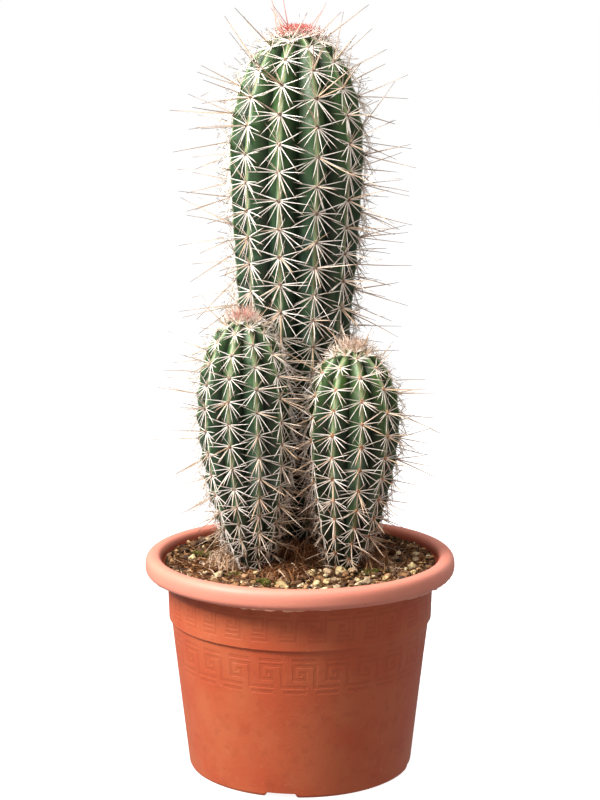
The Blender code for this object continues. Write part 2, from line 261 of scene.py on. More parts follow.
@dataclass(frozen=True)
class Finish:
    """A surface finish: a ground colour, the coats over it and the fine relief."""

    name: str
    roughness: float
    ground: Ramp
    coats: tuple[Coat, ...] = ()
    reliefs: tuple[Relief, ...] = ()
    ior: float = 1.46
    specular: float = 0.5
    sheen: float = 0.0

    def make(self) -> bpy.types.Material:
        """Builds the material.

        Returns:
            The material.
        """
        made = bpy.data.materials.new(self.name)
        made.use_nodes = True
        tree = made.node_tree
        sockets = tree.nodes["Principled BSDF"].inputs
        sockets["Roughness"].default_value = self.roughness
        sockets["IOR"].default_value = self.ior
        sockets["Specular IOR Level"].default_value = self.specular
        sockets["Sheen Weight"].default_value = self.sheen
        colour = self.ground.colour(tree)
        for coat in self.coats:
            colour = coat.lay_over(tree, colour)
        tree.links.new(colour, sockets["Base Color"])
        normal = {}
        for relief in self.reliefs:
            clouds = Mask(Source.CLOUDS, size_mm=relief.size_mm, detail=relief.detail)
            bumps = {
                "Height": clouds.value(tree),
                "Distance": relief.depth_mm / 1000,
                "Strength": relief.strength,
            }
            bump = add_node(tree, "ShaderNodeBump", inputs=bumps | normal)
            normal = {"Normal": bump.outputs["Normal"]}
        tree.links.new(normal["Normal"], sockets["Normal"])
        return made


# Polypropylene, injection moulded and coloured through: a satin skin with faint flow marks
POT_PLASTIC = Finish(
    "moulded_terracotta_polypropylene",
    roughness=0.48,
    ior=1.49,
    specular=0.36,
    ground=Ramp(Mask(Source.CLOUDS, 0.32, 0.70, 45, 6), ((0, "BC5432"), (1, "C0623D"))),
    coats=(
        # Scuffs, and cloudy patches 10 mm wide
        Coat("D58B6C", 0.22, (Mask(Source.CLOUDS, 0.62, 0.80, 9, 6),)),
        Coat("A0482B", 0.30, (Mask(Source.CLOUDS, 0.50, 0.72, 10, 8),)),
        # A paler rim top: partly a slight sun fade, partly a painted highlight
        Coat(
            "EE9F8C", 0.60,
            (Mask(Source.HEIGHT, 0.1905, 0.1935), Mask(Source.REACH, 0.1315, 0.1385)),
        ),
        # Painted shade on the inner wall below the mouth
        Coat(
            "6E3423", 0.60,
            (Mask(Source.REACH, 0.1375, 0.1315), Mask(Source.HEIGHT, 0.1890, 0.1940)),
        ),
        # Specks of grit about a millimetre wide, some 18 mm apart
        Coat("6B3320", 0.70, (Mask(Source.SPOTS, 0.045, 0.025, 18.1818),)),
        # Painted shade in the grooves of the key pattern, and the pale flash under the rim
        Coat("9C4427", 0.22, (Mask("groove_shade"),)),
        Coat("F2B898", 1.0, (Mask("flash"),)),
    ),
    # Slight sink marks, and the mould's grain, drawn at 2 mm so that it shows
    reliefs=(Relief(14, 2, 0.25, 0.35), Relief(2.2, 4, 0.22)),
)


def cactus_skin(
    stem: str, flank: str, flank_light: str = "325030", young: str = "3C5C26"
) -> Finish:
    """Living cactus skin: a waxy cuticle, paler along the ribs with a painted highlight there, and
    painted shade in the furrows.

    Args:
        stem: Which stem it is on.
        flank: The darker green of a rib's sides.
        flank_light: The lighter green there.
        young: The green of new growth near the tip.

    Returns:
        The finish.
    """
    crest_and_highlight = Mask("off_crest", 3.6, 0.8)  # about 5 mm wide, in millimetres from the crest
    return Finish(
        f"waxy_cactus_skin_{stem}",
        roughness=0.46,
        ior=1.42,
        ground=Ramp(Mask(Source.CLOUDS, 0.35, 0.68, 16, 5), ((0, flank), (1, flank_light))),
        coats=(
            Coat(young, 0.72, (Mask("height", 0.60, 0.95),)),
            # Wax bloom in clouds of about 30 mm, on the older skin
            Coat(
                "7C9488", 0.42, (Mask(Source.CLOUDS, 0.45, 0.75, 30, 6), Mask("height", 0.9, 0.35))
            ),
            # Painted shade in the furrows, a painted highlight over a paler band along each rib,
            # and the brown seam on its crest
            Coat("0C180D", 0.78, (Mask("across", 0.30, 0.92),)),
            # A paler crest with a painted highlight over it, stronger towards the top
            Coat("86A076", 0.30, (crest_and_highlight,)),
            Coat("A7B98A", 0.45, (crest_and_highlight, Mask("height", 0.15, 0.85))),
            Coat("9A7F4E", 0.45, (Mask("off_crest", 0.9, 0.3),)),
            # Pores half a millimetre wide and 3 mm apart, and small scars
            Coat("1B3020", 0.5, (Mask(Source.SPOTS, 0.24, 0.10, 3.0303),)),
            Coat("8C8A5A", 0.5, (Mask(Source.CLOUDS, 0.70, 0.78, 7),)),
            # Cork, and skin darkened towards the soil: partly dirt, partly painted shade
            Coat("7B6541", 0.75, (Mask("height", 0.055, 0.0),)),
            Coat("1A1C0E", 0.80, (Mask(Source.HEIGHT, 0.262, 0.205),)),
        ),
        reliefs=(Relief(5, 4, 0.5, 0.5), Relief(1.2, 2, 0.12, 0.4)),
    )


MAIN_SKIN = cactus_skin("main", "1B3522")
LEFT_SKIN = cactus_skin("left", "193421")
RIGHT_SKIN = cactus_skin("right", "172D17", "2F4923", "42621F")

# Dry horn of a spine: chalky white, dark at its root and grey-brown at its point
SHAFT, FRESH_RED = "FBF3EA", "CC0F30"
SPINE = Finish(
    "dry_spine_horn",
    roughness=0.5,
    ior=1.5,
    ground=Ramp(
        Mask("along"),
        (
            (0, "3A281E"), (1, "5C473B"), (0.05, "7A5B45"), (0.10, SHAFT), (0.78, SHAFT),
            (0.91, "AA9482"),
        ),
    ),
    coats=(
        # Warmer horn by chance, and browner horn low down: partly soil stains, partly painted shade
        Coat("C4A27C", 0.85, (Mask("tone"),), MixKind.DARKEN),
        Coat("8E7152", 0.22, (Mask(Source.HEIGHT, 0.270, 0.205),)),
        # Fresh spines are red with a pink point, and the most vivid are red throughout
        Coat(
            Ramp(
                Mask("along"), ((0, FRESH_RED), (1, "F4BCA6"), (0.55, FRESH_RED), (0.80, "F0787A"))
            ),
            1.0,
            (Mask("youth"),),
        ),
        Coat(FRESH_RED, 1.0, (Mask("tone", 0.42, 0.54), Mask("youth"))),
    ),
    reliefs=(Relief(1.0, 2, 0.05, 0.3),),
)


def areole_felt(name: str, wool: str, shadow: str) -> Finish:
    """Short woolly felt of an areole, matted, with the dark roots of its spines in it.

    Args:
        name: The material's name.
        wool: The colour of the hairs.
        shadow: The colour between them.

    Returns:
        The finish.
    """
    return Finish(
        name,
        roughness=0.95,
        sheen=0.3,
        ground=Ramp(Mask(Source.CLOUDS, 0.35, 0.65, 1.3, 4), ((0, shadow), (1, wool))),
        coats=(Coat("E8DDC6", 0.6, (Mask("youth"),)),),
        reliefs=(Relief(0.8, 3, 0.4, 0.8),),
    )


FELT = areole_felt("matted_areole_felt", "A8967D", "5E4A3B")
WARM_FELT = areole_felt("matted_areole_felt_warm", "C4956A", "7A4526")

# Damp peat and bark dust, pressed into clumps: dull, and darkened nearly to black as painted shade
# between the grains
PEAT = Finish(
    "damp_peat_and_bark_dust_with_painted_shade",
    roughness=0.95,
    specular=0.15,
    ground=Ramp(
        Mask(Source.CLOUDS, 0.30, 0.72, 5, 6),
        ((0, "140B04"), (1, "76502A"), (0.45, "2E1C0D"), (0.75, "523719")),
    ),
    reliefs=(Relief(3, 6, 1.2),),
)


def grains(name: str, roughness: float, tones: Stops, pit_mm: float) -> Finish:
    """Loose mineral or bark grains: each has its own tone, and a pitted broken face.

    Args:
        name: The material's name.
        roughness: How dull the grains are.
        tones: Their range of colours.
        pit_mm: The width of a pit.

    Returns:
        The finish.
    """
    return Finish(
        name,
        roughness=roughness,
        specular=0.15,
        ground=Ramp(Mask("tone"), tones),
        coats=(
            Coat("5A3D20", 0.5, (Mask(Source.CLOUDS, 0.45, 0.72, 4, 5),)),
            Coat("FFFFFF", 0.04, (Mask(Source.CLOUDS, 0.3, 0.7, pit_mm),)),
        ),
        reliefs=(Relief(pit_mm, 4, 0.5, 0.9),),
    )


CRUMB = grains(
    "crushed_bark_and_lava_crumbs",
    0.92,
    ((0, "26150A"), (1, "DCC59C"), (0.30, "54351B"), (0.58, "885D36"), (0.84, "B58E5E")),
    1.0,
)
PUMICE = grains(
    "rounded_pumice_pebble",
    0.85,
    ((0, "C6AB74"), (1, "967B5E"), (0.35, "DCCAA0"), (0.6, "B0845E"), (0.8, "D2BE9A")),
    1.6,
)

# Short living moss: yellow-green tips over dark stalks, with dry patches
MOSS = Finish(
    "short_green_moss",
    roughness=0.9,
    ground=Ramp(Mask("along"), ((0, "2A2C10"), (1, "A29A48"), (0.5, "5C6424"))),
    coats=(Coat("8A7A3A", 0.5, (Mask(Source.CLOUDS, 0.45, 0.65, 5),)),),
    reliefs=(Relief(1.0, 2, 0.2, 0.5),),
)
# Dry roots and shed spines: tan to straw-coloured fibre with darker bands
ROOT = Finish(
    "dry_root_fibre",
    roughness=0.85,
    ground=Ramp(
        Mask("tone"), ((0, "5E3618"), (1, "E8CFB6"), (0.4, "9A6236"), (0.7, "C59A70"))
    ),
    coats=(Coat("4E3520", 0.35, (Mask(Source.CLOUDS, 0.35, 0.7, 2.5),)),),
    reliefs=(Relief(1.0, 2, 0.1, 0.5),),
)


def to_mesh(bm: bmesh.types.BMesh, name: str) -> bpy.types.Mesh:
    """Stores a bmesh as a mesh and frees it.

    Args:
        bm: The bmesh.
        name: The mesh's name.

    Returns:
        The mesh.
    """
    mesh = bpy.data.meshes.new(name)
    bm.to_mesh(mesh)
    bm.free()
    return mesh


def add_object(name: str, data: bpy.types.ID) -> bpy.types.Object:
    """Puts an object in the scene.

    Args:
        name: The object's name.
        data: Its mesh, light or camera.

    Returns:
        The object.
    """
    made = bpy.data.objects.new(name, data)
    bpy.context.scene.collection.objects.link(made)
    return made


def stamp(bm: bmesh.types.BMesh, template: bpy.types.Mesh) -> Sequence[bmesh.types.BMVert]:
    """Adds a copy of a template to a mesh.

    Args:
        bm: The mesh that grows.
        template: The shape that is repeated.

    Returns:
        The copy's points.
    """
    bm.from_mesh(template)
    bm.verts.ensure_lookup_table()
    return bm.verts[-len(template.vertices) :]


def strand_template(name: str, sides: int, parts: int) -> bpy.types.Mesh:
    """Makes a straight tube from z = 0 to 1, radius 1, which lay_strand bends into place.

    Args:
        name: The mesh's name.
        sides: Faces round the tube.
        parts: Faces along the tube.

    Returns:
        The mesh, closed at both ends, with its height in the attribute "along".
    """
    bm = bmesh.new()
    bmesh.ops.create_cone(
        bm, cap_ends=True, segments=sides, radius1=1, radius2=1, depth=1,
        matrix=Matrix.Translation((0, 0, 0.5)),
    )
    rails = [e for e in bm.edges if abs(e.verts[0].co.z - e.verts[1].co.z) > 0.5]
    bmesh.ops.subdivide_edges(bm, edges=rails, cuts=parts - 1)
    along = bm.verts.layers.float.new("along")
    for vert in bm.verts:
        vert[along] = vert.co.z
    return to_mesh(bm, name)


def lay_strand(
    target: bmesh.types.BMesh,
    template: bpy.types.Mesh,
    middle: Callable[[float], Vector],
    thickness: Callable[[float], float],
    heading: Vector,
    values: dict[str, float],
) -> None:
    """Adds a bent copy of a straight template to a mesh.

    Args:
        target: The mesh that grows.
        template: The straight strand.
        middle: The centre line, for places from 0 to 1.
        thickness: The radius there.
        heading: The strand's general direction, which the rings stand across.
        values: Attribute values for all its points.
    """
    side = heading.orthogonal().normalized()
    other = heading.cross(side).normalized()
    points = stamp(target, template)
    layers = [(target.verts.layers.float[name], value) for name, value in values.items()]
    for vert in points:
        place = vert.co.z
        offset = side * vert.co.x + other * vert.co.y
        vert.co = middle(place) + offset * thickness(place)
        for layer, value in layers:
            vert[layer] = value


def new_mesh(*attributes: str) -> bmesh.types.BMesh:
    """Returns an empty mesh that carries the named values on its points."""
    bm = bmesh.new()
    for name in attributes:
        bm.verts.layers.float.new(name)
    return bm


def finish_piece(
    bm: bmesh.types.BMesh,
    name: str,
    surface: bpy.types.Material,
    slot: str,
    nodes: Sequence[str] = (),
    sharp: float = 80.0,
) -> None:
    """slot: The record's material slot; not used.
        nodes: The CAD nodes that it stands for.
        sharp: Edges bent by more than this many degrees stay sharp.
    """
    mesh = to_mesh(bm, name)
    mesh.materials.append(surface)
    mesh.shade_smooth()
    mesh.set_sharp_from_angle(angle=math.radians(sharp))
    piece = add_object(name, mesh)
    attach(piece, "root")
    if nodes:
        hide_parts(*nodes)
    log.info("%s: %d faces", name, len(mesh.polygons))


def spun(profile: Sequence[Point], sides: int, start: float = 0.0) -> bmesh.types.BMesh:
    """Spins a profile of (radius, height) points round the pot's axis.

    Args:
        profile: The points; one on the axis becomes a pole, and a closed loop repeats its first.
        sides: Steps in the full turn.
        start: Where the first column stands, in degrees from the front.

    Returns:
        The closed mesh, facing outwards.
    """
    bm = bmesh.new()
    way = facing(start)
    loop = profile[0] == profile[-1]
    open_profile = profile[:-1] if loop else profile
    points = [bm.verts.new(way * r + Vector((0, 0, z))) for r, z in open_profile]
    pairs = list(zip(points, points[1:])) + ([(points[-1], points[0])] if loop else [])
    edges = [bm.edges.new(pair) for pair in pairs]
    bmesh.ops.spin(
        bm, geom=points + edges, axis=(0, 0, 1), cent=(0, 0, 0), steps=sides,
        angle=2 * math.pi, use_merge=True,
    )
    bmesh.ops.remove_doubles(bm, verts=bm.verts, dist=1e-6)
    bmesh.ops.dissolve_degenerate(bm, edges=bm.edges, dist=1e-6)
    bmesh.ops.recalc_face_normals(bm, faces=bm.faces)
    return bm


@dataclass(frozen=True)
class KeyRow:
    """One row of the recessed key pattern, as bars on the pot's angular grid."""

    cell: int  # grid steps to a repeat
    shift: float  # grid steps from the grid's start
    low: float  # height of the row's foot
    unit: float  # height of one tenth of a groove
    bars: tuple[Bar, ...]  # left, right in grid steps; bottom, top in units

    def levels(self) -> set[float]:
        """Returns the heights where grooves begin and end."""
        return {round(self.low + self.unit * h, 5) for bar in self.bars for h in bar[2:]}

    def holds(self, step: float, height: float) -> bool:
        """Whether a place on the wall lies in a groove.

        Args:
            step: The place round the pot, in grid steps.
            height: Its height.

        Returns:
            True inside a groove.
        """
        base = (step - self.shift) % self.cell
        rise = (height - self.low) / self.unit
        return any(
            left < base + turn * self.cell < right and bottom < rise < top
            for left, right, bottom, top in self.bars
            for turn in (-1, 0, 1)
        )


@dataclass
class NurseryPot:
    """The moulded pot: a tapered wall, a key-pattern band, a rolled rim and a notched foot."""

    steps: int = 600
    grid_start: float = -2.7
    foot: float = 0.1090
    band: float = 0.1290
    band_low: float = 0.1480
    band_top: float = 0.1947
    band_taper: float = 0.0015
    step_in: float = 0.0023
    wall: float = 0.0025
    groove: float = 0.00017
    lip_middle: tuple[float, float] = (0.1418, 0.1990)
    lip_half: tuple[float, float, float] = (0.0082, 0.0114, 0.0075)  # outwards, up, down
    lip_turn: tuple[float, float] = (-75.0, 250.0)  # where the roll starts, and its sweep
    lip_steps: int = 40
    lip_squareness: float = 0.75
    foot_round: float = 0.0030
    foot_inner: float = 0.0990
    foot_height: float = 0.0050
    floor: float = 0.0028
    floor_edge: float = 0.0992
    floor_gap: float = 0.0001  # between the base plate and the wall's own floor
    notch_turn: float = -9.6
    notch_width: float = 0.0320
    notch_height: float = 0.0040
    notch_slant: float = 0.0022  # the run of a notch's sloping end
    drains: int = 8
    drain_ring: float = 0.0740
    drain_radius: float = 0.0050
    warp: float = 0.00035
    flash: float = 0.0011
    rows: tuple[KeyRow, ...] = (
        KeyRow(
            cell=24, shift=0, low=0.1046, unit=0.001217,
            bars=(
                (14, 34, 4.5, 7.5), (14, 17, 4.5, 24.7), (-1, 17, 21.7, 24.7), (-1, 2, 10.7, 24.7),
                (-1, 10, 10.7, 13.7), (7, 10, 10.7, 19.2), (4, 10, 16.2, 19.2), (4, 6, 15.0, 19.2),
                (-1, 16, 26.0, 29.0), (16, 33, 0.0, 3.0),
            ),
        ),
        KeyRow(
            cell=20, shift=2, low=0.1548, unit=0.001054,
            bars=(
                (-12, 1, 0.8, 3.8), (-1, 1, 0.8, 23.5), (-1, 18, 20.5, 23.5), (16, 18, 9.2, 23.5),
                (9, 18, 9.2, 12.2), (9, 11, 9.2, 17.5), (9, 14, 14.5, 17.5), (12, 14, 13.2, 17.5),
                (-12, -2, 5.0, 8.0), (-18, -4, 24.8, 27.8),
            ),
        ),
    )

    def wall_radius(self, height: float) -> float:
        """Returns the outside radius of the wall below the rim."""
        if height >= self.band_low:
            share = (height - self.band_low) / (self.band_top - self.band_low)
            return self.band - self.band_taper * (1 - share)
        share = (height - self.foot_round) / (self.band_low - 0.0012 - self.foot_round)
        top = self.band - self.band_taper - self.step_in
        return self.foot + (top - self.foot) * share

    def lip(self) -> list[Point]:
        """Returns the rolled rim, from under the lip over its crest to the mouth."""
        (r0, z0), (outwards, upwards, downwards) = self.lip_middle, self.lip_half
        start, sweep = self.lip_turn
        roll = []
        for step in range(self.lip_steps + 1):
            turn = math.radians(start + step * sweep / self.lip_steps)
            out, up = math.cos(turn), math.sin(turn)
            rise = upwards if up > 0 else downwards
            r = r0 + outwards * math.copysign(abs(out) ** self.lip_squareness, out)
            z = z0 + rise * math.copysign(abs(up) ** self.lip_squareness, up)
            roll.append((r, z))
        return roll

    def profile(self) -> list[Point]:
        """Returns the wall's closed outline: foot, outside, rim and inside."""
        low, high = (sorted(row.levels()) for row in self.rows)
        plain = [self.foot_round, 0.0060, 0.030, 0.055, 0.080, 0.098]
        outside = [(self.wall_radius(z), z) for z in plain + low + [0.1435, self.band_low - 0.0016]]
        ledge = [
            (self.band - self.band_taper - self.step_in + 0.0004, self.band_low - 0.0009),
            (self.band - 0.0019, self.band_low - 0.0002),
        ]
        band = [self.band_low + 0.0005, 0.1522, *high, 0.1900, self.band_top]
        upper = [(self.wall_radius(z), z) for z in band]
        under = [
            (0.1302, 0.1983), (0.1340, 0.2004), (0.1395, 0.2003), (0.1432, 0.1970),
            (0.1440, 0.1935),
        ]
        inside = [
            (0.1316, 0.2022), (self.band - self.wall, self.band_top),
            (self.band - self.band_taper - self.wall, self.band_low + 0.0010),
            (self.band - self.band_taper - self.step_in - self.wall, self.band_low - 0.0030),
            (self.foot - self.wall, self.foot_height + self.floor),
            (self.foot_inner, self.foot_height + self.floor),
            (self.foot_inner - 0.0005, self.foot_height),
        ]
        foot = [(self.foot_inner + 0.0005, 0.0), (self.foot - 0.0025, 0.0)]
        foot.append((self.foot - 0.0008, 0.0010))
        return foot + outside + ledge + upper + under + self.lip() + inside + foot[:1]

    def cut_grooves(self, bm: bmesh.types.BMesh) -> None:
        """Sinks the key pattern into the wall with soft sloping sides, and marks its points for
        painted shade.
        """
        groove_shade = bm.verts.layers.float.new("groove_shade")
        sunk = []
        for face in bm.faces:
            middle = face.calc_center_median()
            outwards = face.normal.dot(Vector((middle.x, middle.y, 0))) > 0
            if not (outwards and 0.103 < middle.z < 0.188):
                continue
            turn = math.degrees(math.atan2(middle.x, -middle.y))
            step = (turn - self.grid_start) * self.steps / 360
            if any(row.holds(step, middle.z) for row in self.rows):
                sunk.append(face)
        bmesh.ops.inset_region(
            bm, faces=sunk, thickness=0.0004, depth=-self.groove, use_even_offset=True
        )
        for vert in {vert for face in sunk for vert in face.verts}:
            vert[groove_shade] = 1.0

    def notch_foot(self, bm: bmesh.types.BMesh) -> None:
        """Raises the foot's edge at its four water notches, with slanted ends."""
        for vert in bm.verts:
            if vert.co.z > 0.0045 or math.hypot(vert.co.x, vert.co.y) < self.foot_inner:
                continue
            turn = math.degrees(math.atan2(vert.co.x, -vert.co.y)) - self.notch_turn
            off = abs((turn + 45) % 90 - 45) * math.radians(self.foot)
            share = min(max((self.notch_width / 2 - off) / self.notch_slant, 0.0), 1.0)
            floor = self.notch_height * share
            if vert.co.z < floor + 0.0006:
                vert.co.z = floor + 0.15 * vert.co.z

    def soften(self, bm: bmesh.types.BMesh) -> None:
        """Adds the mould's slight warp, and the thin ragged flash under the rim."""
        pale = bm.verts.layers.float.new("flash")
        for vert in bm.verts:
            out = Vector((vert.co.x, vert.co.y, 0)).normalized()
            vert.co += out * self.warp * noise.noise(vert.co * 9)
            reach = math.hypot(vert.co.x, vert.co.y)
            if 0.1900 < vert.co.z < 0.1925 and 0.1445 < reach:
                ragged = max(noise.noise(vert.co * 170) + 0.35, 0)
                broad = noise.noise(vert.co * 13 + Vector((3.2, 0, 0)))
                patch = min(max(broad * 2 + 0.65, 0), 1)
                vert.co += (out * 0.5 - Vector((0, 0, 1))) * self.flash * ragged * patch
                vert[pale] = min(ragged * patch * 1.6, 1)

    def build_floor(self, surface: bpy.types.Material) -> None:
        """Makes the base plate with its drainage holes."""
        top = self.foot_height + self.floor
        low, high = self.foot_height + self.floor_gap, top - self.floor_gap
        outline = [(0, low), (self.floor_edge, low), (self.floor_edge, high), (0, high)]
        blank = add_object("base_plate_blank", to_mesh(spun(outline, 96), "base_plate_blank"))
        drills = []
        for number in range(self.drains):
            turn = self.notch_turn + (number + 0.5) * 360 / self.drains
            place = facing(turn) * self.drain_ring
            drill_bm = bmesh.new()
            bmesh.ops.create_cone(
                drill_bm, cap_ends=True, segments=32, radius1=self.drain_radius,
                radius2=self.drain_radius, depth=0.02, matrix=Matrix.Translation(place),
            )
            drill = add_object("drill", to_mesh(drill_bm, "drill"))
            hole = blank.modifiers.new("hole", "BOOLEAN")
            hole.object, hole.operation, hole.solver = drill, "DIFFERENCE", "EXACT"
            drills.append(drill)
        graph = bpy.context.evaluated_depsgraph_get()
        bm = bmesh.new()
        bm.from_mesh(blank.evaluated_get(graph).to_mesh())
        for name in ("groove_shade", "flash"):
            bm.verts.layers.float.new(name)
        for tool in [blank, *drills]:
            bpy.data.objects.remove(tool, do_unlink=True)
        finish_piece(bm, "pot_base_plate", surface, "terracotta_plastic", sharp=40)

    def build(self) -> None:
        """Makes the pot's wall and rim, and its base plate."""
        surface = POT_PLASTIC.make()
        bm = spun(self.profile(), self.steps, self.grid_start)
        self.cut_grooves(bm)
        self.notch_foot(bm)
        self.soften(bm)
        finish_piece(bm, "pot_wall_and_rim", surface, "terracotta_plastic", ["pot"], sharp=13)
        self.build_floor(surface)


def nodes_named(start: str) -> list[str]:
    """Returns the frame's nodes whose names start with the given letters."""
    return [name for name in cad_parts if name.startswith(start)]


def middle_and_half(node: str) -> tuple[Vector, Vector]:
    """Returns the middle of a node's box and half its sides."""
    low, high = (Vector(corner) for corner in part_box(node))
    return (low + high) / 2, (high - low) / 2


@dataclass
class Soil:
    """The fill in the pot and everything loose on it."""

    top: float = SOIL_LEVEL
    edge: float = 0.1306
    edge_lift: float = 0.0085
    wave: float = 0.0012
    heap: float = 0.0016
    seed: int = 11
    crumbs: int = 3300
    small_pebbles: int = 110
    stalks: int = 1300  # of moss, to a cushion
    stems: list["CactusStem"] = field(default_factory=list)

    def smooth_height(self, x: float, y: float) -> float:
        """Returns the height of the soil before its grain is added."""
        out = min(math.hypot(x, y) / 0.1296, 1.0)
        inner = 1 - out**6
        waves = self.wave * math.sin(31 * x + 1.3) * math.cos(27 * y - 0.4) * inner
        heap = self.heap * math.exp(-((x / 0.07) ** 2) - ((y - 0.01) / 0.06) ** 2) * inner
        return self.top + waves + heap + self.edge_lift * out**4

    def height(self, x: float, y: float) -> float:
        """Returns the height of the rough surface."""
        place = Vector((x, y, 0))
        rough = 0.0016 * noise.noise(place * 90) + 0.0010 * noise.noise(place * 230)
        return self.smooth_height(x, y) + rough + 0.0008 * noise.noise(place * 420)

    def in_a_stem(self, x: float, y: float, margin: float) -> bool:
        """Whether a place on the soil is taken by a stem."""
        return any(
            math.dist((x, y), stem.centre(self.top)[:2]) < stem.radius(self.top + 0.004) + margin
            for stem in self.stems
        )

    def places(self, count: int, chance: random.Random, margin: float) -> Iterator[Vector]:
        """Yields places on the soil, evenly spread by area.

        Args:
            count: How many.
            chance: The source of chance.
            margin: The distance kept from stems and wall.

        Yields:
            Points on the rough surface.
        """
        found = 0
        while found < count:
            reach = (self.edge - margin) * math.sqrt(chance.random())
            spot = facing(chance.uniform(0, 360)) * reach
            if self.in_a_stem(spot.x, spot.y, margin * 0.5):
                continue
            found += 1
            yield Vector((spot.x, spot.y, self.height(spot.x, spot.y)))

    def build_bed(self) -> None:
        """Makes the body of the soil with its rough top."""
        rings = [(self.edge * (1 - i / 96), self.top) for i in range(96)]
        side = [
            (0.0, 0.0085), (0.1030, 0.0085), (0.1060, 0.0110), (0.1220, 0.1445),
            (0.1243, 0.1500), (0.1256, 0.1935),
        ]
        bm = spun(side + rings + [(0.0, self.top)], 300)
        for vert in bm.verts:
            if vert.co.z > self.top - 1e-5:
                vert.co.z = self.height(vert.co.x, vert.co.y)
        finish_piece(bm, "soil_bed", PEAT.make(), "soil_mix", ["soil"])

    def grain(
        self,
        bm: bmesh.types.BMesh,
        template: bpy.types.Mesh,
        spot: Vector,
        size: float,
        tone: float,
        chance: random.Random,
        flat: float = 0.75,
    ) -> None:
        """Adds one irregular grain, turned and stretched by chance.

        Args:
            bm: The mesh that grows.
            template: A round grain of diameter 1.
            spot: Where its middle goes.
            size: Its width.
            tone: Its place in the colour range.
            chance: The source of chance.
            flat: Its height as a share of its width.
        """
        points = stamp(bm, template)
        tones = bm.verts.layers.float["tone"]
        seed = Vector([chance.uniform(-90, 90) for _ in range(3)])
        stretch = Vector((1, chance.uniform(0.6, 0.95), flat * chance.uniform(0.8, 1.2)))
        tilts = [chance.uniform(-0.5, 0.5), chance.uniform(-0.5, 0.5)]
        turn = Euler([*tilts, chance.uniform(0, 6.28)]).to_matrix()
        for vert in points:
            bump = 1 + 0.62 * noise.noise(vert.co * 2.6 + seed)
            shape = Vector([c * s for c, s in zip(vert.co * bump * size, stretch)])
            vert.co = spot + turn @ shape
            vert[tones] = tone

    def grain_template(self, divisions: int) -> bpy.types.Mesh:
        """Returns a round grain of diameter 1."""
        bm = bmesh.new()
        bmesh.ops.create_icosphere(bm, subdivisions=divisions, radius=0.5)
        return to_mesh(bm, f"grain_{divisions}")

    def build_crumbs(self) -> None:
        """Scatters bark, lava and pumice crumbs over the bed."""
        chance = random.Random(self.seed)
        small, large = self.grain_template(1), self.grain_template(2)
        bm = new_mesh("tone")
        for spot in self.places(self.crumbs, chance, 0.0015):
            size = min(0.0016 * math.exp(chance.gauss(0.45, 0.52)), 0.0085)
            front = 0.10 if spot.x > -0.02 and spot.y < 0.04 else 0.0
            tone = min(max(chance.gauss(0.40, 0.30) + front, 0), 1)
            spot.z += size * 0.24
            template = large if size > 0.0062 else small
            self.grain(bm, template, spot, size, tone, chance, flat=0.7)
        finish_piece(bm, "soil_crumbs", CRUMB.make(), "soil_mix", sharp=50)

    def build_pebbles(self) -> None:
        """Makes the pumice pebbles where the frame has them, and smaller ones among them."""
        chance = random.Random(self.seed + 1)
        fine, small = self.grain_template(3), self.grain_template(2)
        bm = new_mesh("tone")
        nodes = nodes_named("pebble_")
        for name in nodes:
            middle, half = middle_and_half(name)
            middle.z -= 0.0006
            size = 1.08 * 2 * max(half.x, half.y)
            self.grain(bm, fine, middle, size, chance.random(), chance)
        for spot in self.places(self.small_pebbles, chance, 0.004):
            right = 0.75 if spot.x > 0.02 or spot.y < -0.03 else 0.10
            if chance.random() < right:
                size = chance.uniform(0.0032, 0.0062)
                spot.z += size * 0.18
                self.grain(bm, small, spot, size, chance.random(), chance)
        finish_piece(bm, "pumice_pebbles", PUMICE.make(), "pale_pebble", nodes, sharp=60)

    def build_moss(self) -> None:
        """Makes the moss cushions from many short leafy stalks."""
        chance = random.Random(self.seed + 2)
        stalk = strand_template("moss_stalk", 3, 2)
        bm = new_mesh("along")
        nodes = nodes_named("moss_")
        for name in nodes:
            middle, half = middle_and_half(name)
            for _ in range(self.stalks):
                turn, out = chance.uniform(0, 6.283), 1.25 * chance.random() ** 0.5
                x = middle.x + half.x * 1.1 * out * math.cos(turn)
                y = middle.y + half.y * 1.1 * out * math.sin(turn)
                place = Vector((x, y, 0))
                if noise.noise(place * 240) < 0.35 * (out - 0.75):
                    continue
                dome = math.sqrt(max(1 - out * out, 0)) * (0.7 + 0.5 * noise.noise(place * 300))
                root = Vector((x, y, self.height(x, y) - 0.0008 + 0.0030 * dome))
                way = Vector((math.cos(turn) * out, math.sin(turn) * out, 1.1)).normalized()
                way = (way + Vector([chance.gauss(0, 0.35) for _ in range(3)])).normalized()
                length = chance.uniform(0.0018, 0.0036)
                lay_strand(
                    bm, stalk, lambda t, r=root, w=way, n=length: r + w * n * t,
                    lambda t: 0.00050 * (1.1 - t), way, {},
                )
        finish_piece(bm, "moss_cushions", MOSS.make(), "moss", nodes)

    def build_fibres(self) -> None:
        """Lays dry roots and shed spines in mats round the stems, and singly over the soil."""
        chance = random.Random(self.seed + 3)
        root = strand_template("root_fibre", 3, 6)
        bm = new_mesh("along", "tone")
        left, right = (stem.centre(self.top) for stem in self.stems[1:3])
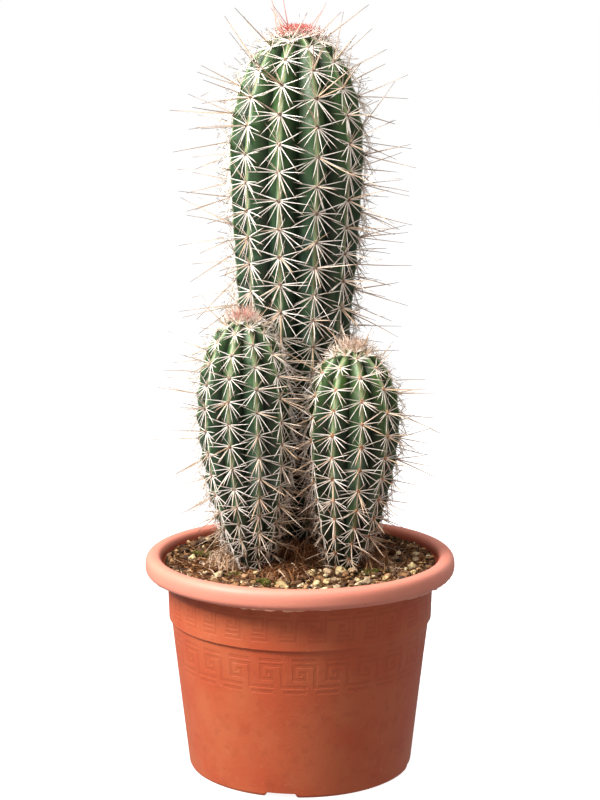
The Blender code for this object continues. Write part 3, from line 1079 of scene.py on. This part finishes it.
        # Each mat's middle, reach, count of fibres, height and paleness
        mats = (
            (Vector((-0.014, -0.032, 0)), 0.022, 210, 0.0090, 0.25),
            (Vector((0.002, 0.006, 0)), 0.022, 190, 0.0240, 0.30),
            (left + Vector((-0.022, 0.004, 0)), 0.020, 240, 0.0170, 0.85),
            (right + Vector((0.024, 0.004, 0)), 0.018, 170, 0.0150, 0.50),
            (Vector((-0.004, 0.066, 0)), 0.046, 170, 0.0060, 0.45),
            (Vector((-0.080, -0.030, 0)), 0.045, 330, 0.0042, 0.30),
            (Vector((0.085, 0.020, 0)), 0.040, 190, 0.0034, 0.45),
            (Vector((0.0, 0.0, 0)), 0.120, 420, 0.0026, 0.35),
        )
        for middle, spread, count, rise, paleness in mats:
            for _ in range(count):
                out = spread * math.sqrt(chance.random())
                spot = Vector((middle.x, middle.y, 0)) + facing(chance.uniform(0, 360)) * out
                if spot.length > self.edge - 0.006:
                    continue
                heading = facing(chance.uniform(0, 360))
                bend = chance.gauss(0, 1.2)
                length = chance.uniform(0.010, 0.030)
                arch = rise * chance.uniform(0.15, 1.0)
                thick = chance.uniform(0.00028, 0.00066)
                tone = min(max(chance.gauss(paleness, 0.26), 0), 1)

                def middle_line(t: float) -> Vector:
                    """Returns the fibre's centre line."""
                    turned = Matrix.Rotation(bend * (t - 0.5), 3, "Z") @ heading
                    at = spot + turned * length * (t - 0.5)
                    reach = min(1.0, (self.edge - 0.003) / max(at.length, 1e-6))
                    at = at * reach
                    ground = self.smooth_height(at.x, at.y) + 0.0006
                    return Vector((at.x, at.y, ground + arch * math.sin(math.pi * t) ** 0.8))

                lay_strand(
                    bm, root, middle_line, lambda t, w=thick: w * (1.15 - 0.6 * t), heading,
                    {"tone": tone},
                )
        nodes = nodes_named("root_fibre_")
        finish_piece(bm, "root_fibres", ROOT.make(), "dry_root_fibre", nodes)

    def build(self) -> None:
        """Makes the bed and all that lies on it."""
        self.build_bed()
        self.build_crumbs()
        self.build_pebbles()
        self.build_moss()
        self.build_fibres()


@dataclass(frozen=True)
class Areole:
    """One felt cushion on a rib, where a cluster of spines grows."""

    root: Vector
    out: Vector
    up: Vector
    side: Vector
    from_tip: float  # along the rib, in metres
    share: float  # height up the stem, from 0 to 1


@dataclass
class CactusStem:
    """One ribbed stem with its skin, areoles and spines."""

    name: str
    skin: Finish
    ribs: int
    first_crest: float
    top: float
    bulge: float
    widest: float
    base: float
    swell: float
    axis: tuple[tuple[float, float, float], ...]
    spacing: tuple[float, float]  # of areoles, from the upper to the lower part
    radial_length: tuple[float, float]
    radials: int
    young_reach: float  # how far from the tip the spines are red
    tuft: tuple[int, float, float, float]  # bristles at the tip: count, reach, least, most
    seed: int
    felt: Finish = FELT
    rib_depth: float = 0.20
    first_areoles: tuple[float, float] = (0.0050, 0.0072)
    central_length: tuple[float, float] = (0.022, 0.044)
    golden: float = 0.12
    girth: float = 0.80
    soil_level: float = SOIL_LEVEL
    buried: float = 0.0350
    mouth: float = 0.1300
    over_rim: float = 0.2125
    past_box: float = 0.0135  # how far spines may reach behind the CAD's box
    cushion: float = 0.0021
    bump: float = 0.0013
    crease: float = 0.0007
    uneven: float = 0.0006
    columns: int = 16  # to a rib
    row_step: float = 0.0030
    neighbours: list["CactusStem"] = field(default_factory=list)

    def __post_init__(self) -> None:
        """Works out the centre line and the outline once, as tables."""
        self.slot = f"{self.name}_flesh"
        heights = np.linspace(self.soil_level - self.buried, self.top, 3000)
        zs, xs, ys = zip(*self.axis)
        smooth = np.hanning(301) / np.hanning(301).sum()
        self.table_z = heights
        self.table_x, self.table_y = (
            np.convolve(np.pad(np.interp(heights, zs, line), 150, mode="edge"), smooth, "valid")
            for line in (xs, ys)
        )
        self.table_r = np.array([self.outline(z) for z in heights])
        steps = np.hypot(np.diff(heights), np.diff(self.table_r))
        self.table_s = np.concatenate([[0], np.cumsum(steps)])
        self.length = float(self.table_s[-1])
        self.ground = float(np.interp(self.soil_level, heights, self.table_s))

    def outline(self, z: float) -> float:
        """Returns the distance from the centre line to a rib's crest."""
        if z >= self.top:
            return 0.0
        if z >= self.bulge:
            above = (z - self.bulge) / (self.top - self.bulge)
            return self.widest * (1 - above**2) ** 0.4
        if z >= self.soil_level:
            below = (z - self.soil_level) / (self.bulge - self.soil_level)
            return self.base + (self.widest - self.base) * (1 - (1 - below) ** self.swell)
        return self.base * (1 - 0.35 * (self.soil_level - z) / self.buried)

    def centre(self, z: float) -> Vector:
        """Returns the centre line at a height."""
        x, y = (float(np.interp(z, self.table_z, line)) for line in (self.table_x, self.table_y))
        return Vector((x, y, z))

    def radius(self, z: float) -> float:
        """Returns the crest radius at a height."""
        return float(np.interp(z, self.table_z, self.table_r))

    def at(self, along: float) -> tuple[float, float, float]:
        """Returns the height, crest radius and slope (outward lean) at a distance along a rib."""
        (z, r), (z2, r2) = (
            [float(np.interp(place, self.table_s, line)) for line in (self.table_z, self.table_r)]
            for place in (along, along - 0.002)
        )
        return z, r, math.atan2(r2 - r, z - z2)

    def areole_places(self, rib: int) -> list[float]:
        """Returns the distances of a rib's areoles from the stem's tip.

        Args:
            rib: The rib's number.

        Returns:
            The distances, crowded at the crown and wider down the rib.
        """
        chance = random.Random(self.seed * 100 + rib)
        reach = self.length - self.ground
        wide, narrow = self.spacing
        place = self.first_areoles[rib % 2] * chance.uniform(0.95, 1.05)
        found = []
        while place < reach - 0.004:
            found.append(place)
            share = min(max((place - 0.10) / (reach - 0.10), 0), 1)
            full = wide + (narrow - wide) * share**1.5
            place += min(full * chance.uniform(0.95, 1.05), 0.95 * place)
        return found

    def depth(self, share: float) -> float:
        """Returns how deep the furrows are, as a share of the radius, at a height share."""
        part = np.interp(share, (0, 0.1, 0.8, 0.97, 1), (0.6, 1, 1.0, 1.25, 0.7))
        return self.rib_depth * float(part)

    def build_flesh(self) -> None:
        """Spins the stem's outline and draws it out into ribs."""
        rows = round(self.length / self.row_step)
        places = [self.at(float(along)) for along in np.linspace(0, self.length, rows + 1)[:-1]]
        outline = [(r, z) for z, r, _ in places]
        profile = [(0.0, float(self.table_z[0])), *outline, (0.0, self.top)]
        bm = spun(profile, self.ribs * self.columns, self.first_crest)
        across, off_crest, height = (
            bm.verts.layers.float.new(name) for name in ("across", "off_crest", "height")
        )
        areoles = [[self.length - d for d in self.areole_places(rib)] for rib in range(self.ribs)]
        pitch = 360 / self.ribs
        for vert in bm.verts:
            z, r = vert.co.z, math.hypot(vert.co.x, vert.co.y)
            share = (z - self.soil_level) / (self.top - self.soil_level)
            centre = self.centre(z)
            vert[height] = min(max(share, 0), 1)
            if r < 1e-6:
                vert.co = centre
                vert[off_crest] = 8.0
                continue
            turn = math.degrees(math.atan2(vert.co.x, -vert.co.y)) - self.first_crest
            rib = round(turn / pitch)
            off = abs(turn - rib * pitch) / (pitch / 2)
            along = float(np.interp(z, self.table_z, self.table_s))
            # Each areole sits on a low bump with a crease over it
            gaps = [along - place for place in areoles[rib % self.ribs]]
            bump = sum(
                self.bump * math.exp(-((gap / 0.0062) ** 2))
                - self.crease * math.exp(-(((gap - 0.0090) / 0.0032) ** 2))
                for gap in gaps
                if abs(gap) < 0.02
            )
            full = min(r / 0.02, 1)
            reach = r * (1 - self.depth(share) * off**1.45) + bump * full * (1 - off) ** 1.5
            reach += self.uneven * noise.noise(vert.co * 38 + Vector((self.seed, 0, 0))) * full
            way = Vector((vert.co.x, vert.co.y, 0)) / r
            vert.co = centre + way * reach
            vert[across] = off
            vert[off_crest] = off * math.radians(pitch / 2) * r * 1000
        bmesh.ops.recalc_face_normals(bm, faces=bm.faces)
        piece = f"{self.name}_flesh"
        finish_piece(bm, piece, self.skin.make(), self.slot, [self.name], sharp=75)

    def areoles(self) -> Iterator[Areole]:
        """Yields each areole's place and directions on the skin."""
        pitch = 360 / self.ribs
        for rib in range(self.ribs):
            radial = facing(self.first_crest + rib * pitch)
            side = Vector((-radial.y, radial.x, 0))
            for from_tip in self.areole_places(rib):
                z, r, lean = self.at(self.length - from_tip)
                out = (radial * math.cos(lean) + Vector((0, 0, math.sin(lean)))).normalized()
                root = self.centre(z) + radial * r + out * 0.0008
                up = side.cross(out) * -1
                if up.z < 0:
                    up = -up
                share = (z - self.soil_level) / (self.top - self.soil_level)
                yield Areole(root, out, up, side, from_tip, share)

    def build_felt(self) -> None:
        """Sets a low woolly cushion on each areole."""
        chance = random.Random(self.seed + 50)
        dome = bmesh.new()
        bmesh.ops.create_uvsphere(dome, u_segments=9, v_segments=6, radius=1.0)
        template = to_mesh(dome, "felt_cushion")
        bm = new_mesh("youth")
        youth = bm.verts.layers.float["youth"]
        for areole in self.areoles():
            points = stamp(bm, template)
            full = min(1.0, 0.55 + areole.from_tip / 0.06)
            size = self.cushion * full * chance.uniform(0.85, 1.15)
            fresh = math.exp(-areole.from_tip / 0.03)
            seed = Vector([chance.uniform(-50, 50) for _ in range(3)])
            for vert in points:
                ruffle = 1 + 0.30 * noise.noise(vert.co * 2.2 + seed)
                across, upward, proud = vert.co * size * ruffle
                level = areole.side * across * 0.9 + areole.up * upward * 1.25
                vert.co = areole.root + level + areole.out * (proud * 0.75 - 0.0002)
                vert[youth] = fresh
        finish_piece(bm, f"{self.name}_areole_felt", self.felt.make(), self.slot)

    def clear_length(self, root: Vector, way: Vector, length: float) -> float:
        """Shortens a spine that would run into the soil, a neighbour or past the object's box.

        Args:
            root: Where the spine starts.
            way: Its direction.
            length: Its wanted length.

        Returns:
            The length that fits.
        """
        while length > 0.004:
            clear = True
            for part in (0.5, 0.75, 1.0):
                point = root + way * length * part
                inside_pot = math.hypot(point.x, point.y) < self.mouth
                floor = self.soil_level + 0.0035 if inside_pot else self.over_rim
                clear &= point.z > floor and point.y < CAD_BOX[1][1] + self.past_box
                for other in self.neighbours:
                    if point.z < other.top - 0.004:
                        away = math.dist(point[:2], other.centre(point.z)[:2])
                        clear &= away > other.radius(point.z) * 0.97
            if clear:
                return length
            length -= 0.0015
        return length

    def clock(self, areole: Areole, degrees: float, lift: float) -> Vector:
        """Returns a direction from an areole.

        Args:
            areole: The areole.
            degrees: Clockwork angle in the plane of the skin: 0 sideways, 90 up the rib.
            lift: Degrees out of that plane.

        Returns:
            The unit direction.
        """
        turn, rise = math.radians(degrees), math.radians(lift)
        level = areole.side * math.cos(turn) + areole.up * math.sin(turn)
        return (level * math.cos(rise) + areole.out * math.sin(rise)).normalized()

    def cluster(self, areole: Areole, chance: random.Random) -> Iterator[Spine]:
        """Yields the spines of one areole.

        Args:
            areole: The areole.
            chance: The source of chance.

        Yields:
            Each spine's direction, length, radius at its root and share of colour warmth.
        """
        crown = math.exp(-((areole.from_tip / 0.017) ** 2))
        foot = float(np.interp(areole.root.z, (0.205, 0.235, 0.290), (0.50, 0.78, 1.0)))
        # Spines near the tip haven't reached their full length
        growth = 1 - 0.42 * math.exp(-((areole.from_tip / 0.042) ** 2))
        short, long = (length * growth for length in self.radial_length)
        for number in range(self.radials):
            # The fan runs from the right, down and round to the left, and leaves the top thin
            share = (number + 0.5) / self.radials
            degrees = 26 - 232 * share + chance.uniform(-9, 9)
            lift = chance.uniform(7, 24) + 42 * crown
            length = chance.uniform(short, long) * (1 - 0.35 * crown) * foot
            if 0.35 < share < 0.65:
                length *= 0.88
            if chance.random() > foot + 0.02:
                continue
            way = self.clock(areole, degrees, lift)
            yield way, length, chance.uniform(0.00056, 0.00074), chance.random() * 0.2
        for _ in range(chance.choice((2, 2, 3))):
            degrees = chance.uniform(45, 135)
            lift = chance.uniform(18, 40) + 35 * crown
            length = short * chance.uniform(0.60, 1.0) * (1 - 0.5 * crown)
            yield self.clock(areole, degrees, lift), length, 0.00042, chance.random()
        count, reach, least, most = self.tuft
        for _ in range(round(count * math.exp(-((areole.from_tip / reach) ** 2)))):
            degrees = chance.uniform(0, 360)
            length = chance.uniform(least, most)
            way = self.clock(areole, degrees, chance.uniform(46, 88))
            yield way, length, 0.00056, chance.random()
        least, most = self.central_length
        for _ in range(chance.choice((0, 0, 1) if areole.from_tip < 0.045 else (1, 1, 2, 2, 3))):
            droop = float(np.interp(areole.share, (0, 0.5, 0.85, 1), (-28, -16, 4, 55)))
            swing = chance.uniform(-48, 48)
            flat = Vector((areole.out.x, areole.out.y, 0)).normalized()
            way = Matrix.Rotation(math.radians(swing), 3, "Z") @ flat
            tilt = math.radians(droop + chance.gauss(0, 17))
            way = way * math.cos(tilt) + Vector((0, 0, math.sin(tilt)))
            way = (way + areole.out * 0.3).normalized()
            length = chance.uniform(least, most) * (1 - 0.45 * crown * chance.random()) * foot
            yield way, length, chance.uniform(0.00070, 0.00090), 0.45 + chance.random() * 0.55

    def build_spines(self, surface: bpy.types.Material) -> None:
        """Grows every areole's cluster of spines."""
        chance = random.Random(self.seed)
        template = strand_template(f"{self.name}_spine", 4, 3)
        bm = new_mesh("along", "tone", "youth")
        for areole in self.areoles():
            fresh = math.exp(-((areole.from_tip / self.young_reach) ** 2))
            for way, length, thick, warmth in self.cluster(areole, chance):
                thick *= self.girth
                root = areole.root - areole.out * 0.0006
                length = self.clear_length(root, way, length)
                if length < 0.005:
                    continue
                sag = Vector([chance.gauss(0, 0.035) for _ in range(3)]) * length
                youth = min(1.0, fresh * chance.uniform(0.5, 1.5)) if fresh > 0.08 else 0.0
                if length > 0.0135:
                    youth *= 0.3
                tone = min(1.0, warmth + self.golden * chance.random())
                lay_strand(
                    bm, template,
                    lambda t, r=root, w=way, n=length, s=sag: r + w * n * t + s * t * t,
                    lambda t, w=thick: w * (1.0 - 0.70 * t**1.6),
                    way, {"tone": tone, "youth": youth},
                )
        finish_piece(bm, f"{self.name}_spines", surface, self.slot)

    def build(self, spine_surface: bpy.types.Material) -> None:
        """Makes the stem's flesh, felt and spines."""
        self.build_flesh()
        self.build_felt()
        self.build_spines(spine_surface)


def stems() -> list[CactusStem]:
    """Returns the three stems: the main one behind, and the two in front of it."""
    main = CactusStem(
        name="main_stem", skin=MAIN_SKIN, ribs=11, first_crest=181.6, top=0.7040, bulge=0.5854,
        widest=0.0655, base=0.0327, swell=1.25,
        axis=((0.15, -0.0040, 0.0700), (0.45, -0.0044, 0.0730), (0.71, -0.0025, 0.0730)),
        spacing=(0.0273, 0.0198), radial_length=(0.0265, 0.0345), central_length=(0.036, 0.060),
        radials=11, young_reach=0.0155, tuft=(22, 0.0150, 0.0090, 0.0130), girth=1.0, seed=3,
    )
    left = CactusStem(
        name="left_stem", skin=LEFT_SKIN, ribs=10, first_crest=163.0, top=0.4374, bulge=0.3453,
        widest=0.0435, base=0.0140, swell=2.0,
        axis=(
            (0.15, -0.0430, -0.0060), (0.204, -0.0456, -0.0070), (0.224, -0.0479, -0.0080),
            (0.355, -0.0543, -0.0090), (0.446, -0.0537, -0.0090),
        ),
        spacing=(0.0215, 0.0130), radial_length=(0.0205, 0.0270), radials=10,
        young_reach=0.0066, tuft=(11, 0.0165, 0.0100, 0.0175), seed=5,
    )
    right = CactusStem(
        name="right_stem", skin=RIGHT_SKIN, ribs=10, first_crest=189.0, top=0.4087, bulge=0.3352,
        widest=0.0441, base=0.0150, swell=1.7,
        axis=(
            (0.15, 0.0405, -0.0060), (0.204, 0.0431, -0.0070), (0.244, 0.0471, -0.0080),
            (0.355, 0.0515, -0.0090), (0.416, 0.0503, -0.0090),
        ),
        spacing=(0.0215, 0.0150), radial_length=(0.0200, 0.0265), radials=10,
        young_reach=0.0036, tuft=(12, 0.0165, 0.0100, 0.0180), seed=8,
        felt=WARM_FELT, first_areoles=(0.0085, 0.0057), golden=0.32,
    )
    family = [main, left, right]
    for stem in family:
        stem.neighbours = [other for other in family if other is not stem]
    return family


@dataclass(frozen=True)
class Softbox:
    """A square studio light."""

    name: str
    place: tuple[float, float, float]
    side: float
    watts: float
    colour: str = "FFFFFF"


@dataclass
class Studio:
    """The white floor, the soft lights and the camera."""

    aim: tuple[float, float, float] = (0.0, 0.0, 0.36)
    lens: float = 85.68
    camera_place: tuple[float, float, float] = (0.0, -1.80, 0.666)
    camera_pitch: float = 9.67
    boxes: tuple[Softbox, ...] = (
        Softbox("key_softbox", (-1.47, -0.76, 1.78), 0.9, 108.0),
        Softbox("top_softbox", (0.0, -0.55, 2.30), 1.3, 24.0),
        Softbox("edge_softbox", (1.3, 1.1, 0.9), 0.8, 5.0, "FFE3DC"),
        Softbox("low_softbox", (0.25, -1.70, 0.10), 0.7, 2.6, "FFC4A0"),
    )

    def build_floor(self) -> None:
        """Lays a wide white floor under the pot."""
        bm = bmesh.new()
        bmesh.ops.create_grid(bm, x_segments=1, y_segments=1, size=20)
        mesh = to_mesh(bm, "studio_floor")
        surface = bpy.data.materials.new("white_studio_paper")
        surface.use_nodes = True
        sockets = surface.node_tree.nodes["Principled BSDF"].inputs
        sockets["Base Color"].default_value = linear("A8A8A8")
        sockets["Roughness"].default_value = 0.9
        sockets["Emission Color"].default_value = linear("FFFFFF")
        sockets["Emission Strength"].default_value = 0.90
        mesh.materials.append(surface)
        floor = add_object("studio_floor", mesh)
        # The paper shows white but sends no light of its own up at the pot
        floor.visible_diffuse = False
        floor.visible_glossy = False

    def build_lights(self) -> None:
        """Hangs the softboxes and sets the even light all round."""
        for box in self.boxes:
            light = bpy.data.lights.new(box.name, "AREA")
            light.energy, light.size = box.watts, box.side
            light.color = linear(box.colour)[:3]
            lamp = add_object(box.name, light)
            lamp.location = box.place
            aim = Vector(self.aim) - lamp.location
            lamp.rotation_euler = aim.to_track_quat("-Z", "Y").to_euler()
        world = bpy.data.worlds.new("studio_air")
        bpy.context.scene.world = world
        world.use_nodes = True
        tree = world.node_tree
        tree.nodes.clear()
        seen = add_node(tree, "ShaderNodeBackground", inputs={"Color": linear("FFFFFF")})
        way = add_node(tree, "ShaderNodeTexCoord").outputs["Generated"]
        height = add_node(tree, "ShaderNodeSeparateXYZ", inputs={0: way}).outputs["Z"]
        # A little more light comes from below, as off a white table
        span = {"Value": height, "From Min": -0.5, "From Max": 0.6, "To Min": 0.38, "To Max": 0.31}
        glow = add_node(tree, "ShaderNodeMapRange", inputs=span).outputs["Result"]
        white = {"Color": linear("FFFFFF"), "Strength": glow}
        lit = add_node(tree, "ShaderNodeBackground", inputs=white)
        ray = add_node(tree, "ShaderNodeLightPath").outputs["Is Camera Ray"]
        shaders = {0: ray, 1: lit.outputs[0], 2: seen.outputs[0]}
        both = add_node(tree, "ShaderNodeMixShader", inputs=shaders)
        add_node(tree, "ShaderNodeOutputWorld", inputs={"Surface": both.outputs[0]})

    def build_camera(self) -> None:
        """Sets the camera in front, a little above the rim and looking slightly down."""
        data = bpy.data.cameras.new("camera")
        data.lens, data.sensor_width, data.sensor_fit = self.lens, 36.0, "AUTO"
        data.clip_start, data.clip_end = 0.01, 100
        camera = add_object("camera", data)
        camera.location = self.camera_place
        camera.rotation_euler = (math.radians(90 - self.camera_pitch), 0, 0)
        bpy.context.scene.camera = camera
        bpy.context.scene.view_settings.view_transform = "Standard"

    def build(self) -> None:
        """Makes the floor, lights and camera."""
        self.build_camera()
        self.build_lights()
        self.build_floor()


def main() -> None:
    """Builds the studio, the pot, the stems and the soil."""
    logging.basicConfig(level=logging.INFO, format="%(name)s: %(message)s")
    Studio().build()
    NurseryPot().build()
    family = stems()
    spine_surface = SPINE.make()
    for stem in family:
        stem.build(spine_surface)
    Soil(stems=family).build()
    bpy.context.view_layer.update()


if __name__ == "__main__":
    main()
